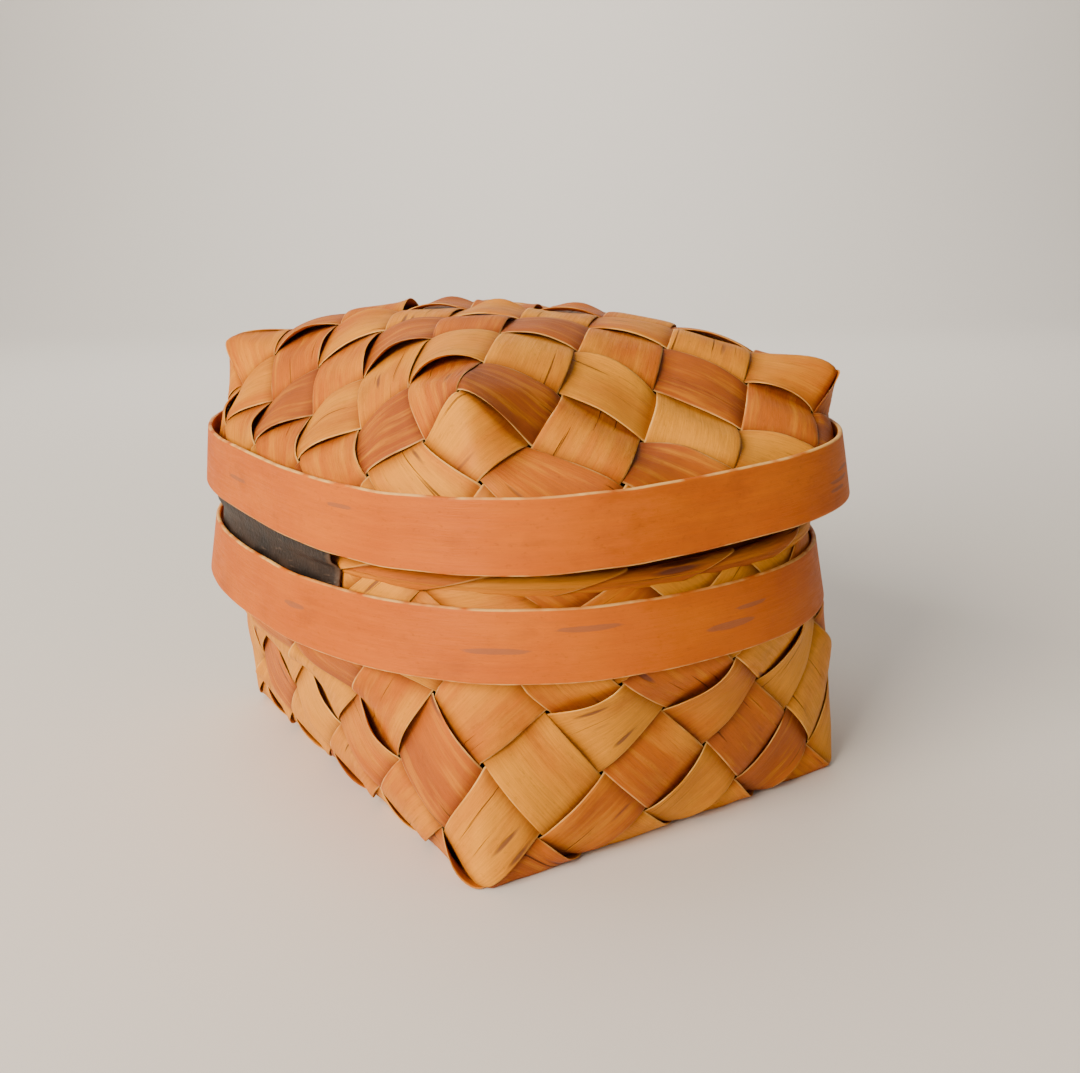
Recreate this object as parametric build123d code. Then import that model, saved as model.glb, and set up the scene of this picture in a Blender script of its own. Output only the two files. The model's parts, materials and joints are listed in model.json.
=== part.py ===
from build123d import *
import math
import os

# A lidded box plaited from birch-bark strips at 45 degrees. Millimetres, +Z up.
# The origin lies under the middle of the lid's band, on the plane that the box stands on.

# Plait
strip_pitch = 15.0          # from one strip's middle to the next one's
strip_gap = 1.4             # open space between two neighbouring strips
bark = 0.6                  # thickness of a strip
layer_gap = 0.3             # air between the upper and the lower strip at a crossing
cells_x = 4                 # diamonds along the short side of the bottom
cells_y = 5                 # diamonds along the long side
base_half_rows = 6          # half diamonds up the base's wall
lid_half_rows = 3           # half diamonds down the lid's wall

# Base
base_rim_height = 56.2
base_flare_x = 11.4         # how far the mouth stands out over the bottom, each side
base_flare_y = 13.7
base_roundness = 2.42       # exponent of the mouth's superellipse: 2 is an ellipse
base_floor_centre = (4.3, -1.5)
base_mouth_centre = (0.6, 0.6)
# share of the way out to the band and of the rim's height reached after each half row
base_wall = [(0.0, 0.0), (0.24, 0.13), (0.41, 0.33), (0.53, 0.51), (1.0, 0.67), (1.0, 0.84), (1.0, 1.0)]
base_corner_stretch = 0.34  # extra height of the diamonds at the four corners, at most
base_twist = 0.1            # how far the plait creeps round the wall, in diamonds per row

# Lid
lid_rim_height = 58.3
lid_corner_height = 83.5
lid_side_fall = 2.8         # the top's +X side lies this much below its middle, the -X side as much above
lid_crown = 9.3             # rise of the top's middle over its corners
lid_side_drop = 2.7         # how far the middle of each top edge lies below its corners
lid_side_draw = 3.8         # how far the middle of each top edge is drawn in
crown_power = 4.4           # above 2 the crown is flat-topped
lid_flare_x = 11.8
lid_flare_y = 16.0
lid_roundness = 2.86
lid_top_centre = (4.6, 2.0)
lid_mouth_centre = (1.4, -0.9)
lid_wall = [(0.0, 0.0), (0.50, 0.29), (1.0, 0.48), (1.0, 1.0)]
lid_corner_stretch = 0.0
lid_twist = 0.16
lid_rest_angle = 1.6        # the lid rests this far open, in degrees

# Bands, collar and leather hinge
band_thickness = 0.9
band_height = 12.2
base_band_bottom = 39.7
base_band_slope = 1.034     # lower edge over upper edge
lid_band_bottom = 58.5
lid_band_slope = 0.974      # upper edge over lower edge
band_clearance = 0.25       # between plait and band
collar_thickness = 0.8
collar_clearance = 0.4      # between plait and collar
collar_bottom = 36.0
collar_top = 62.0
strap_thickness = 1.0
strap_clearance = 0.1       # each side of the leather
strap_width = 60.0
strap_tuck = 10.5           # how far each leaf reaches in behind its band
fold_gap = 0.3              # from each leaf's end to the fold line

cell = strip_pitch * math.sqrt(2)
sides = 2 * (cells_x + cells_y)
corners = [0, cells_x, cells_x + cells_y, 2 * cells_x + cells_y]
inset = strip_gap / strip_pitch / 2
layer_shift = (bark + layer_gap) / 2
plait_half = layer_shift + bark / 2
floor_half_x = cells_x * cell / 2
floor_half_y = cells_y * cell / 2
band_shift = (strap_thickness + 2 * strap_clearance) / 2
hinge_z = (base_band_bottom + band_height + lid_band_bottom) / 2
hinge_x = lid_mouth_centre[0] - (floor_half_x + lid_flare_x + plait_half + strap_clearance + strap_thickness)


def floor_corner_walk(k):
    """Side number and way along it, in cells, of a place on the bottom's outline."""
    k = k % sides
    side = max(i for i, start in enumerate(corners) if k >= start)
    return side, k - corners[side]


def outline(k):
    """The bottom's outline as (u, v) in cells, counter-clockwise from the corner at -X -Y."""
    side, along = floor_corner_walk(k)
    places = [(along, 0), (cells_x, along), (cells_x - along, cells_y), (0, cells_y - along)]
    return places[side]


def cornerness(k):
    """1 at a corner of the outline, falling to 0 one diamond away from it."""
    return max(0, 1 - min(abs(k % sides - corner) for corner in corners + [sides]))


def superellipse(half_x, half_y, power, angle):
    """A point of the superellipse, from the angle of its generating circle."""
    c, s = math.cos(angle), math.sin(angle)
    return (
        math.copysign(half_x * abs(c) ** (2 / power), c),
        math.copysign(half_y * abs(s) ** (2 / power), s),
    )


def mouth_curve(half_x, half_y, power, steps=120):
    """A function of k that spaces the cells evenly along each side of the mouth."""
    arcs = []
    for side in range(4):
        start = math.radians(225 + 90 * side)
        points = [superellipse(half_x, half_y, power, start + math.pi / 2 * i / steps) for i in range(steps + 1)]
        lengths = [0.0]
        for p, q in zip(points, points[1:]):
            lengths.append(lengths[-1] + math.dist(p, q))
        arcs.append((points, lengths))

    def place(k):
        side, along = floor_corner_walk(k)
        points, lengths = arcs[side]
        cells = cells_x if side % 2 == 0 else cells_y
        target = along / cells * lengths[-1]
        i = min(max(j for j, length in enumerate(lengths) if length <= target), steps - 1)
        share = (target - lengths[i]) / (lengths[i + 1] - lengths[i])
        p, q = points[i], points[i + 1]
        return p[0] + (q[0] - p[0]) * share, p[1] + (q[1] - p[1]) * share

    return place


class Plait:
    """The middle surface of one plaited half. It places the plait's crossing points."""

    def __init__(self, flare_x, flare_y, power, flat_centre, mouth_centre, wall, stretch, twist,
                 flat_z, rim_z, mouth_edge, far_edge, slope, outward, crown=0, side_drop=0, side_draw=0, fall=0):
        self.half_x = floor_half_x + flare_x
        self.half_y = floor_half_y + flare_y
        self.power = power
        self.mouth = mouth_curve(self.half_x, self.half_y, power)
        self.flat_centre = flat_centre
        self.mouth_centre = mouth_centre
        self.wall = wall
        self.stretch = stretch
        self.twist = twist
        self.flat_z = flat_z
        self.rim_z = rim_z
        self.crown = crown
        self.side_drop = side_drop
        self.side_draw = side_draw
        self.fall = fall
        self.mouth_edge = mouth_edge    # heights of the band's two edges
        self.far_edge = far_edge
        self.slope = slope
        self.outward = outward      # -1 for the base, whose flat side faces down, +1 for the lid
        self.rows = (len(wall) - 1) / 2

    def flat(self, u, v):
        """A point of the flat side, u and v diamonds from its corner at -X -Y."""
        a = 2 * u / cells_x - 1
        b = 2 * v / cells_y - 1
        rise = (1 - abs(a) ** crown_power) * (1 - abs(b) ** crown_power)
        dip = a * a * (1 - b * b) + b * b * (1 - a * a)
        return Vector(
            self.flat_centre[0] + a * (floor_half_x - self.side_draw * (1 - b * b)),
            self.flat_centre[1] + b * (floor_half_y - self.side_draw * (1 - a * a)),
            self.flat_z + self.crown * rise - self.side_drop * dip - self.fall * a,
        )

    def scale(self, z):
        """The mouth's scale at a height: the plait leans with its band as far as the rim."""
        share = (z - self.mouth_edge) / (self.far_edge - self.mouth_edge)
        rim_share = (self.rim_z - self.mouth_edge) / (self.far_edge - self.mouth_edge)
        return 1 + (self.slope - 1) * max(share, rim_share)

    def wall_point(self, k, row):
        """A point of the wall, row cells away from the bottom's edge."""
        step = min(int(row * 2), len(self.wall) - 2)
        share = row * 2 - step
        (out0, up0), (out1, up1) = self.wall[step], self.wall[step + 1]
        out = out0 + (out1 - out0) * share
        up = up0 + (up1 - up0) * share
        k = k + self.twist * row
        up *= 1 + self.stretch * cornerness(k) * 4 * up * (1 - up)
        foot = self.flat(*outline(k))
        z = foot.Z + (self.rim_z - foot.Z) * up
        x, y = (c * self.scale(z) + centre for c, centre in zip(self.mouth(k), self.mouth_centre))
        return Vector(foot.X + (x - foot.X) * out, foot.Y + (y - foot.Y) * out, z)

    def wall_normal(self, k, row):
        """The outward normal of the wall at a crossing point."""
        reach = 0.25
        across = self.wall_point(k + reach, row) - self.wall_point(k - reach, row)
        low, high = max(row - reach, 0), min(row + reach, self.rows)
        along = self.wall_point(k, high) - self.wall_point(k, low)
        normal = across.cross(along).normalized()
        return normal * -self.outward

    def flat_normal(self, u, v):
        reach = 0.25
        across = self.flat(u + reach, v) - self.flat(u - reach, v)
        along = self.flat(u, v + reach) - self.flat(u, v - reach)
        return across.cross(along).normalized() * self.outward

    def vertex(self, place):
        """Position and outward normal of a crossing point, given as ("flat", u, v) or ("wall", k, row)."""
        where, a, b = place
        if where == "wall" and b > 0:
            return self.wall_point(a, b), self.wall_normal(a, b)
        u, v = outline(a) if where == "wall" else (a, b)
        on_edge = u in (0, cells_x) or v in (0, cells_y)
        if not on_edge:
            return self.flat(u, v), self.flat_normal(u, v)
        k = a if where == "wall" else edge_place(u, v)
        normal = self.flat_normal(u, v) + self.wall_normal(k, 0)
        return self.flat(u, v), normal.normalized()


def edge_place(u, v):
    """The place along the outline of a point on the bottom's edge."""
    if v == 0:
        return u
    if u == cells_x:
        return corners[1] + v
    if v == cells_y:
        return corners[2] + cells_x - u
    return corners[3] + cells_y - v


def wall_gate(k, row, turn, up):
    """The two crossing points that a strip passes between on the wall, left one first, seen from inside.
    k and row are the gate's middle; turn is the way the strip leans as it goes up."""
    side = 0.25 if up else -0.25
    left = ("wall", k + side, row - side * turn)
    right = ("wall", k - side, row + side * turn)
    return left, right


def strip_routes(half_rows):
    """One list of gates for each strip, from rim to rim over the flat side."""
    rows = half_rows / 2
    tangents = [(1, 0), (0, 1), (-1, 0), (0, -1)]
    inwards = [(0, 1), (-1, 0), (0, -1), (1, 0)]
    seen = set()
    routes = []
    for start in range(sides):
        for turn in (1, -1):
            if (start + 0.5, turn) in seen:
                continue
            edge = start + 0.5
            gates = [
                wall_gate(edge + turn * (rows - i / 2 - 0.25), rows - i / 2 - 0.25, turn, False)
                for i in range(half_rows)
            ]
            side = floor_corner_walk(edge)[0]
            du = inwards[side][0] - turn * tangents[side][0]
            dv = inwards[side][1] - turn * tangents[side][1]
            u, v = outline(edge)
            while True:
                mid_u, mid_v = u + du / 4, v + dv / 4
                gates.append((("flat", mid_u - dv / 4, mid_v + du / 4), ("flat", mid_u + dv / 4, mid_v - du / 4)))
                u, v = u + du / 2, v + dv / 2
                if u in (0, cells_x) or v in (0, cells_y):
                    break
            exit_edge = edge_place(u, v)
            tangent = tangents[floor_corner_walk(exit_edge)[0]]
            exit_turn = 1 if du * tangent[0] + dv * tangent[1] > 0 else -1
            gates += [
                wall_gate(exit_edge + exit_turn * (i / 2 + 0.25), i / 2 + 0.25, exit_turn, True)
                for i in range(half_rows)
            ]
            seen.add((exit_edge, exit_turn))
            routes.append((edge, turn, gates))
    return routes


def blend_point(a, b, share):
    return a + (b - a) * share


def section(left, right, low, high, offset):
    """The strip's rectangular section between two crossing points, from share low to share high."""
    normal = blend_point(left[1], right[1], 0.5).normalized()
    corners_3d = []
    for share, depth in ((low, -bark / 2), (high, -bark / 2), (high, bark / 2), (low, bark / 2)):
        point = blend_point(right[0], left[0], share)
        lift = blend_point(right[1], left[1], share).normalized() * offset
        corners_3d.append(point + lift + normal * depth)
    return corners_3d


def between(gate_a, gate_b, share):
    """The gate a share of the way from one gate to the next."""
    pairs = []
    for a, b in zip(gate_a, gate_b):
        pairs.append((blend_point(a[0], b[0], share), blend_point(a[1], b[1], share).normalized()))
    return pairs


def rim_sections(gate, apex, offset):
    """The two sections of a strip's end, cut along the rim: the end narrows towards the next rim point."""
    rim_first = abs(gate[0][0].Z - apex[0].Z) < abs(gate[1][0].Z - apex[0].Z)
    made = []
    for share in (0.8, inset):
        left, right = between(gate, (apex, apex), share)
        width = 1 - share
        spare = inset / width
        low, high = (spare, 1 - spare / 2) if rim_first else (spare / 2, 1 - spare)
        made.append(section(left, right, low, high, offset))
    return made


def on_whole(place):
    """True for the crossing points on whole diamonds. The plait creases along the line between two of them."""
    return all(number == int(number) for number in place[1:])


def skin(sections, creases):
    """A closed solid of flat triangles through four-cornered sections. creases picks each quad's diagonal."""
    faces = [Face(Wire.make_polygon(sections[0], close=True)), Face(Wire.make_polygon(sections[-1], close=True))]
    for a, b, crease in zip(sections, sections[1:], creases):
        for i in range(4):
            j = (i + 1) % 4
            from_left = crease if i in (0, 3) else not crease
            quad = (a[i], a[j], b[j], b[i])
            split = ((1, 2, 3), (3, 0, 1)) if from_left else ((0, 1, 2), (2, 3, 0))
            faces += [Face(Wire.make_polygon([quad[n] for n in corner], close=True)) for corner in split]
    return Solid(Shell(faces))


def make_strip(shell, edge, turn, gates):
    """One bark strip as a closed solid, over and under its neighbours from rim to rim."""
    rows = shell.rows
    points = [[shell.vertex(place) for place in gate] for gate in gates]
    whole_row = rows == int(rows)
    leans_up = turn > 0 if shell.outward < 0 else turn < 0
    over = leans_up if not whole_row else not leans_up
    end_place = gates[-1]
    start_apex = shell.vertex(rim_apex(gates[0], rows))
    end_apex = shell.vertex(rim_apex(end_place, rows))
    shift = layer_shift if over else -layer_shift
    sections = rim_sections(points[0], start_apex, shift)
    creases = [True, True]
    for (gate_a, gate_b), place in zip(zip(points, points[1:]), gates):
        shift = -shift
        for share in (inset, 1 - inset):
            left, right = between(gate_a, gate_b, share)
            sections.append(section(left, right, inset, 1 - inset, shift))
        creases += [on_whole(place[0]), True]
    sections += reversed(rim_sections(points[-1], end_apex, -shift))
    return skin(sections, creases + [True])


def rim_apex(gate, rows):
    """The rim point that a strip's cut end runs out to."""
    rim = next(place for place in gate if place[2] == rows)
    low = next(place for place in gate if place[2] != rows)
    return "wall", 2 * low[1] - rim[1], rows


def ring(half_x, half_y, power, centre, stations, thickness):
    """A bark band bent round a mouth. half_x and half_y are its inner face's; stations are (height, scale)."""
    def wire(grow, z, scale):
        turns = 72
        points = [
            superellipse((half_x + grow) * scale, (half_y + grow) * scale, power, math.tau * (i + 0.5) / turns)
            for i in range(turns)
        ]
        return Wire([Edge.make_spline([Vector(centre[0] + x, centre[1] + y, z) for x, y in points], periodic=True)])

    outer = Solid.make_loft([wire(thickness, *station) for station in stations], ruled=True)
    inner = Solid.make_loft([wire(0, *station) for station in stations], ruled=True)
    return outer - inner


def chord_sag(shell):
    """How far the plait's straight cells cut inside the mouth's curve, at most."""
    sags = []
    for i in range(2 * sides):
        a, b = shell.mouth(i / 2 - 0.5), shell.mouth(i / 2 + 0.5)
        middle = shell.mouth(i / 2)
        sags.append(math.dist(middle, ((a[0] + b[0]) / 2, (a[1] + b[1]) / 2)))
    return max(sags)


def make_band(shell):
    """The smooth bark band round a plaited mouth, with room for the hinge strap on the -X side."""
    reach = plait_half + band_clearance
    centre = (shell.mouth_centre[0] - band_shift, shell.mouth_centre[1])
    stations = [(z, shell.scale(z)) for z in sorted((shell.mouth_edge, shell.far_edge))]
    return ring(shell.half_x + reach + band_shift, shell.half_y + reach, shell.power, centre,
                stations, band_thickness)


def make_leaf(shell, tucked_end, fold_end):
    """One half of the leather strap, bent round the outside of the plait."""
    reach = plait_half + strap_clearance
    heights = {tucked_end, fold_end}
    if min(heights) < shell.rim_z < max(heights):
        heights.add(shell.rim_z)
    stations = [(z, shell.scale(z)) for z in sorted(heights)]
    whole = ring(shell.half_x + reach, shell.half_y + reach, shell.power, shell.mouth_centre,
                 stations, strap_thickness)
    window = Box(shell.half_x, strap_width, 4 * abs(tucked_end - fold_end))
    return whole & Pos(-shell.half_x, shell.mouth_centre[1], hinge_z) * window


base_band_top = base_band_bottom + band_height
base = Plait(base_flare_x, base_flare_y, base_roundness, base_floor_centre, base_mouth_centre,
             base_wall, base_corner_stretch, base_twist, plait_half, base_rim_height,
             base_band_top, base_band_bottom, base_band_slope, -1)
lid = Plait(lid_flare_x, lid_flare_y, lid_roundness, lid_top_centre, lid_mouth_centre,
            lid_wall, lid_corner_stretch, lid_twist, lid_corner_height, lid_rim_height,
            lid_band_bottom, lid_band_bottom + band_height, lid_band_slope, 1,
            lid_crown, lid_side_drop, lid_side_draw, lid_side_fall)
parts = {}
for number, (edge, turn, gates) in enumerate(strip_routes(base_half_rows), 1):
    parts[f"base_strip_{number:02d}"] = make_strip(base, edge, turn, gates)
parts["base_band"] = make_band(base)
collar_reach = plait_half + collar_clearance + chord_sag(base) + collar_thickness
rim_scale = base.scale(base_rim_height)
parts["base_collar"] = ring(base.half_x * rim_scale - collar_reach, base.half_y * rim_scale - collar_reach,
                            base_roundness, base_mouth_centre, [(collar_bottom, 1), (collar_top, 1)],
                            collar_thickness)
parts["hinge_strap_lower"] = make_leaf(base, base_band_top - strap_tuck, hinge_z - fold_gap)

lid_parts = {}
for number, (edge, turn, gates) in enumerate(strip_routes(lid_half_rows), 1):
    lid_parts[f"lid_strip_{number:02d}"] = make_strip(lid, edge, turn, gates)
lid_parts["lid_band"] = make_band(lid)
lid_parts["hinge_strap_upper"] = make_leaf(lid, lid_band_bottom + strap_tuck, hinge_z + fold_gap)

hinge = Axis((hinge_x, 0, hinge_z), (0, -1, 0))
for name, solid in lid_parts.items():
    parts[name] = solid.rotate(hinge, lid_rest_angle)

os.makedirs("parts", exist_ok=True)
for name, solid in parts.items():
    export_step(solid, f"parts/{name}.step")
print("hinge axis", round(hinge_x, 3), round(hinge_z, 3), "collar reach", round(collar_reach, 3))
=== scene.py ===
"""The looks of a birch-bark box: plaited strips, bent bands, a collar and a leather hinge. Metres, +Z up."""

import json
import math
import random
from typing import NamedTuple

import bmesh
import bpy
import numpy as np
from mathutils import Matrix, Vector, noise


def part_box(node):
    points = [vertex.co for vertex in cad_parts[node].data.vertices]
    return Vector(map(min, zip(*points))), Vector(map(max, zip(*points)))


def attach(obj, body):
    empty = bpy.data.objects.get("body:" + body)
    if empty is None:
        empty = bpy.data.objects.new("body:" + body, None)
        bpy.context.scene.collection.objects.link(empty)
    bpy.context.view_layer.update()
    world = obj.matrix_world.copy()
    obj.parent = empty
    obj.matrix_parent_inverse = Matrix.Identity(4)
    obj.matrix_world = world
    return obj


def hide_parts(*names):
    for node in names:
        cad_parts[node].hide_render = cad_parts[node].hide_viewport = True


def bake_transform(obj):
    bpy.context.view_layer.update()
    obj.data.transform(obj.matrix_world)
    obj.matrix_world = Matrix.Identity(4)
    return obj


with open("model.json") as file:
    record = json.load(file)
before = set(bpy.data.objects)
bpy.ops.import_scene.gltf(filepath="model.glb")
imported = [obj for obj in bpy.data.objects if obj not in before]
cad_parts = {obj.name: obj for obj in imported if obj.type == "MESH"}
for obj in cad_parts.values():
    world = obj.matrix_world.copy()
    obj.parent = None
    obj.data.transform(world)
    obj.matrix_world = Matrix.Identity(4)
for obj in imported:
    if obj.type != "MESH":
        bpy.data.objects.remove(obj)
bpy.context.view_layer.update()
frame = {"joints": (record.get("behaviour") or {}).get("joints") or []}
draw = random.Random(7)

# The plait's lattice: the same driving dimensions as the CAD part's
STRIP_PITCH = 0.015
STRIP_GAP = 0.0007          # narrower than the CAD's, because these edges are lifted clear of each other
BARK = 0.0006
LAYER_GAP = 0.0003
CELLS_X, CELLS_Y = 4, 5
CELL = STRIP_PITCH * math.sqrt(2)
SIDES = 2 * (CELLS_X + CELLS_Y)
CORNERS = [0, CELLS_X, CELLS_X + CELLS_Y, 2 * CELLS_X + CELLS_Y]
INSET = STRIP_GAP / STRIP_PITCH / 2
LAYERS_APART = BARK + LAYER_GAP
PLAIT_HALF = LAYERS_APART / 2 + BARK / 2
FLOOR_HALF = np.array([CELLS_X, CELLS_Y]) * CELL / 2
TANGENTS = [(1, 0), (0, 1), (-1, 0), (0, -1)]
INWARDS = [(0, 1), (-1, 0), (0, -1), (1, 0)]

BAND_THICKNESS = 0.0009
BAND_HEIGHT = 0.0122
BAND_CLEARANCE = 0.00025
COLLAR_THICKNESS = 0.0008
STRAP_THICKNESS = 0.001
STRAP_CLEARANCE = 0.0001
STRAP_TUCK = 0.0105
BAND_SHIFT = (STRAP_THICKNESS + 2 * STRAP_CLEARANCE) / 2

BASE = dict(
    half_rows=6, flare=(0.0114, 0.0137), power=2.42,
    flat_centre=(0.0043, -0.0015), mouth_centre=(0.0006, 0.0006),
    wall=[(0, 0), (0.24, 0.13), (0.41, 0.33), (0.53, 0.51), (1, 0.67), (1, 0.84), (1, 1)],
    stretch=0.34, twist=0.1, flat_z=PLAIT_HALF, rim_z=0.0562, mouth_edge=0.0519, far_edge=0.0397,
    slope=1.034, outward=-1, crown=0, side_drop=0, side_draw=0, fall=0,
)
LID = dict(
    half_rows=3, flare=(0.0118, 0.016), power=2.86,
    flat_centre=(0.0046, 0.002), mouth_centre=(0.0014, -0.0009),
    wall=[(0, 0), (0.50, 0.29), (1, 0.48), (1, 1)],
    stretch=0, twist=0.16, flat_z=0.0835, rim_z=0.0583, mouth_edge=0.0585, far_edge=0.0707,
    slope=0.974, outward=1, crown=0.0093, side_drop=0.0027, side_draw=0.0038, fall=0.0028,
)
CROWN_POWER = 4.4
HINGE = next(j for j in frame["joints"] if j["name"] == "lid_hinge")
HINGE_AT = Vector(HINGE["pos_m"])
HINGE_AXIS = Vector(HINGE["axis"])
LID_REST = math.radians(1.6)
LID_TURN = (
    Matrix.Translation(HINGE_AT) @ Matrix.Rotation(LID_REST, 4, HINGE_AXIS) @ Matrix.Translation(-HINGE_AT)
)

# The strips' mesh
STEPS_ALONG = 12            # in each crossing
STEPS_ACROSS = 12
EDGE_FOLD, CORNER_FOLD = 0.75, 0.45     # 0 is round, 1 is sharp
EDGE_REST = 0.5             # keeps a strip's long edges from standing up over its middle
EDGE_WANDER = 0.014         # how far the long edges stray, as a share of the pitch
EDGE_WANDER_WAVES = 90      # a metre
BULGES = (0.0001, 0.0008)   # least and most that a crossing swells in its middle
CURLS = [0, 0, 0.0003, 0.0008, 0.0015]  # how far a long edge stands up
TILT = 0.0003
WOBBLE, WOBBLE_WAVES = 0.00012, 160
BAND_MARGIN = 0.0004        # how far past the band's edge the plait still lies flat
BULGE_ROOM = 0.003          # the swelling of the crossings fades over this distance to the band
CUT_EDGE = 0.015            # the share of a strip's half width that shows as its cut edge
HIDDEN_FROM = 0.4           # below this share of the lift, the strip is painted darker as it dives: painted shade under the strip it passes beneath
INNER_FACE_SLICE = 0.37     # the inner face samples its grain this far from the outer face
LID_NUMBERS = 40            # added to the lid's strips, so that their grain isn't the base's

# The rings' mesh
RING_STEPS = 360
PROFILE_STEPS, CAP_STEPS = 34, 6
EDGE_RADIUS = 0.00035
SWAY_WAVES, SWAY_TWIST = 3, 60          # a ring's faces sway in and out a little, more so from edge to edge
RISE, RISE_WAVES, RISE_SLICE = 0.0002, 7, 3.0       # and its edges rise and fall
MARK_FADE = 1.3             # a mark's value at its middle, falling to 0 just outside its size

ROLL_HALF_WIDE, ROLL_HALF_HIGH, ROLL_DROP = 0.0013, 0.0016, 0.00135
ROLL_GROWTH = 0.00045       # each fold swells by this before the next one covers it
ROLL_SLANT = 0.32           # cells that a fold's seam leans along the rim
ROLL_SEAM = 0.985           # cells from a fold's seam to its end, just short of the next one
ROLL_SHADE = 0.12           # the share of a fold that lies in the last one's shadow
ROLL_ROUGH = 0.0001
ROLL_EDGE = 0.7             # how much of a cut edge the end of a fold shows

FOLD_HALF = 0.001           # the strap passes from the base's shape to the lid's over twice this
STRAP_EDGE_ROUND = 0.00035
PUCKER = 0.00012

CAMERA_AT = Vector((-0.1275, -0.2102, 0.1123))
CAMERA_TOWARDS = Vector((0.5277, 0.8082, -0.2617))
CAMERA_ROLL = -0.0125
CAMERA_YAW_FROM_Y = math.atan2(CAMERA_TOWARDS.x, CAMERA_TOWARDS.y)
LENS, SENSOR = 38.72, 36.0


# ---------------------------------------------------------------- lattice

def side_and_way(k):
    """Side number and way along it, in cells, of a place on the flat side's outline."""
    k = k % SIDES
    side = max(i for i, start in enumerate(CORNERS) if k >= start)
    return side, k - CORNERS[side]


def outline(k):
    """The place on the flat side, in cells, that is k cells round its outline."""
    side, along = side_and_way(k)
    return [(along, 0), (CELLS_X, along), (CELLS_X - along, CELLS_Y), (0, CELLS_Y - along)][side]


def edge_place(u, v):
    """How far round the outline a place on it is, in cells."""
    if v == 0:
        return u
    if u == CELLS_X:
        return CORNERS[1] + v
    if v == CELLS_Y:
        return CORNERS[2] + CELLS_X - u
    return CORNERS[3] + CELLS_Y - v


def cornerness(k):
    """1 at a corner, falling to 0 one cell from it."""
    return max(0, 1 - min(abs(k % SIDES - corner) for corner in CORNERS + [SIDES]))


def superellipse(half_x, half_y, power, angle):
    c, s = math.cos(angle), math.sin(angle)
    return math.copysign(half_x * abs(c) ** (2 / power), c), math.copysign(half_y * abs(s) ** (2 / power), s)


def unit(vector):
    return vector / np.linalg.norm(vector)


class Plait:
    """The middle surface of one plaited half, as in the CAD part."""

    def __init__(self, **sizes):
        self.__dict__.update(sizes)
        self.half = FLOOR_HALF + self.flare
        self.rows = self.half_rows / 2
        self.arcs = [self.quarter(side) for side in range(4)]

    def quarter(self, side, steps=120):
        """Points and running lengths of the quarter of the mouth over one side."""
        start = math.radians(225 + 90 * side)
        angles = [start + math.pi / 2 * i / steps for i in range(steps + 1)]
        points = np.array([superellipse(*self.half, self.power, angle) for angle in angles])
        lengths = np.concatenate([[0], np.cumsum(np.linalg.norm(np.diff(points, axis=0), axis=1))])
        return points, lengths

    def mouth(self, k):
        side, along = side_and_way(k)
        points, lengths = self.arcs[side]
        target = along / (CELLS_X if side % 2 == 0 else CELLS_Y) * lengths[-1]
        return np.array([np.interp(target, lengths, points[:, axis]) for axis in (0, 1)])

    def flat(self, u, v):
        a, b = 2 * u / CELLS_X - 1, 2 * v / CELLS_Y - 1
        rise = (1 - abs(a) ** CROWN_POWER) * (1 - abs(b) ** CROWN_POWER)
        dip = a * a * (1 - b * b) + b * b * (1 - a * a)
        return np.array([
            self.flat_centre[0] + a * (FLOOR_HALF[0] - self.side_draw * (1 - b * b)),
            self.flat_centre[1] + b * (FLOOR_HALF[1] - self.side_draw * (1 - a * a)),
            self.flat_z + self.crown * rise - self.side_drop * dip - self.fall * a,
        ])

    def scale(self, z):
        """The mouth's size at a height: it tapers from the mouth's edge of the band to its far edge."""
        share = (z - self.mouth_edge) / (self.far_edge - self.mouth_edge)
        rim_share = (self.rim_z - self.mouth_edge) / (self.far_edge - self.mouth_edge)
        return 1 + (self.slope - 1) * np.maximum(share, rim_share)

    def wall_point(self, k, row):
        step = min(int(row * 2), len(self.wall) - 2)
        share = row * 2 - step
        (out0, up0), (out1, up1) = self.wall[step], self.wall[step + 1]
        out, up = out0 + (out1 - out0) * share, up0 + (up1 - up0) * share
        k = k + self.twist * row
        up *= 1 + self.stretch * cornerness(k) * 4 * up * (1 - up)
        foot = self.flat(*outline(k))
        z = foot[2] + (self.rim_z - foot[2]) * up
        reach = self.mouth(k) * self.scale(z) + self.mouth_centre
        return np.array([*(foot[:2] + (reach - foot[:2]) * out), z])

    def wall_normal(self, k, row):
        across = self.wall_point(k + 0.25, row) - self.wall_point(k - 0.25, row)
        low, high = max(row - 0.25, 0), min(row + 0.25, self.rows)
        return -self.outward * unit(np.cross(across, self.wall_point(k, high) - self.wall_point(k, low)))

    def flat_normal(self, u, v):
        across = self.flat(u + 0.25, v) - self.flat(u - 0.25, v)
        along = self.flat(u, v + 0.25) - self.flat(u, v - 0.25)
        return self.outward * unit(np.cross(across, along))

    def vertex(self, place):
        """Position and outward normal of a crossing point: ("flat", u, v) or ("wall", k, row)."""
        where, a, b = place
        if where == "wall" and b > 0:
            return self.wall_point(a, b), self.wall_normal(a, b)
        u, v = outline(a) if where == "wall" else (a, b)
        if u not in (0, CELLS_X) and v not in (0, CELLS_Y):
            return self.flat(u, v), self.flat_normal(u, v)
        k = a if where == "wall" else edge_place(u, v)
        return self.flat(u, v), unit(self.flat_normal(u, v) + self.wall_normal(k, 0))


def wall_gate(k, row, turn, up):
    side = 0.25 if up else -0.25
    return ("wall", k + side, row - side * turn), ("wall", k - side, row + side * turn)


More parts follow.
